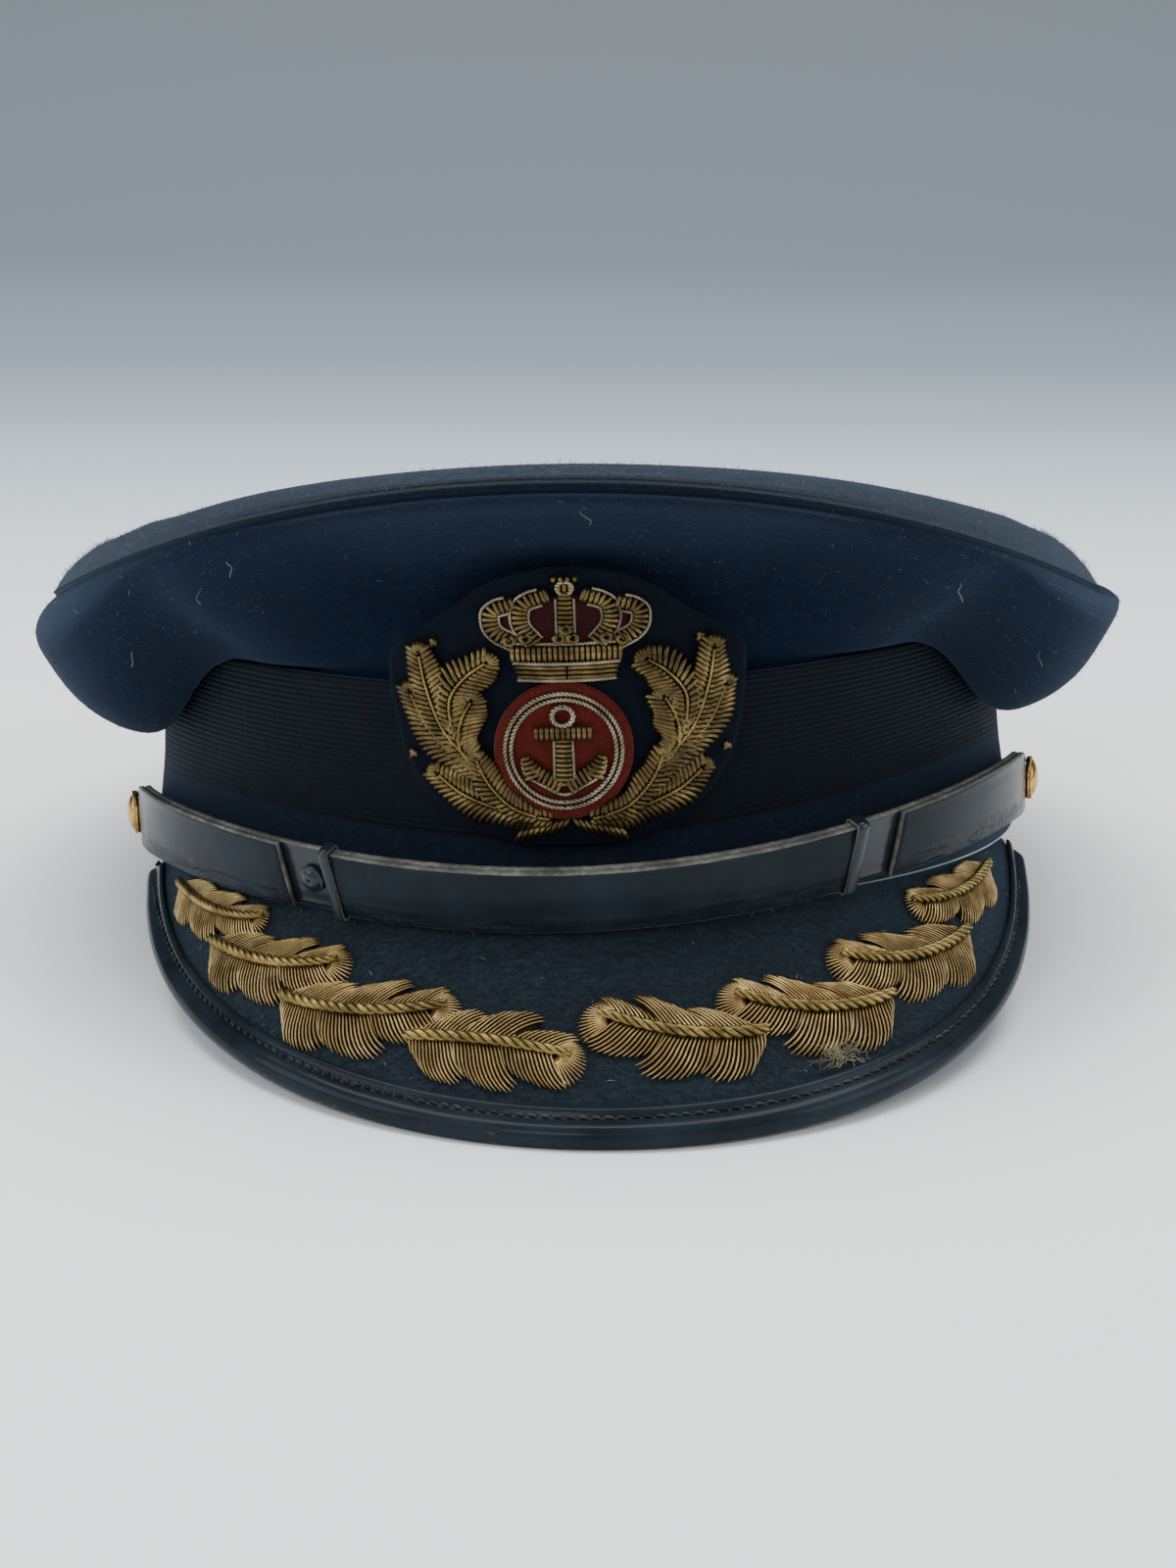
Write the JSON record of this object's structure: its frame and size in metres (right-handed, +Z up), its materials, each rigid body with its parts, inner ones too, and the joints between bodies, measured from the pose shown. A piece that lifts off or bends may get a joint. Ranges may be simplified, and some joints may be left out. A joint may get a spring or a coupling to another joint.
{
  "type": "naval officer's peaked cap",
  "caption": "Naval officer's peaked cap: wide wool crown, ribbed band, leather chin strap, bound cloth peak with gold leaf embroidery and a gilt wreath badge.",
  "frame": {"origin": "centre of the bounding box at the table it rests on", "axes": "-Y towards the peak, +Y towards the back of the head, +Z up, +X towards the wearer's left"},
  "size_m": [0.228, 0.2702, 0.1137],
  "materials": {
    "wool": "very dark navy wool felt, matt with short nap",
    "mohair": "ribbed blue-black mohair braid, matt",
    "patent": "black patent leather, glossy, worn at the edges",
    "gilt": "gilt brass, softly polished",
    "bullion": "antique gold bullion wire, coiled",
    "leaf": "bronze-gold metal thread, satin",
    "velvet": "dark red velvet"
  },
  "bodies": {
    "root": {"crown_top": "wool", "crown_side": "wool", "crown_welt": "wool", "band": "mohair", "visor": "wool", "visor_binding": "patent", "strap_back": "patent", "strap_left": "patent", "strap_middle": "patent", "strap_right": "patent", "keeper_left": "patent", "keeper_right": "patent", "snap_stud": "patent", "button_left": "gilt", "button_right": "gilt", "badge_backing": "wool", "badge_medallion": "velvet", "badge_cord_outer": "bullion", "badge_cord_inner": "bullion", "badge_anchor": "bullion", "badge_crown": "bullion", "badge_wreath_left": "bullion", "badge_wreath_right": "bullion", "oak_leaf_left_1": "leaf", "oak_leaf_left_2": "leaf", "oak_leaf_left_3": "leaf", "oak_leaf_left_4": "leaf", "oak_leaf_right_1": "leaf", "oak_leaf_right_2": "leaf", "oak_leaf_right_3": "leaf", "oak_leaf_right_4": "leaf"}
  },
  "joints": []
}
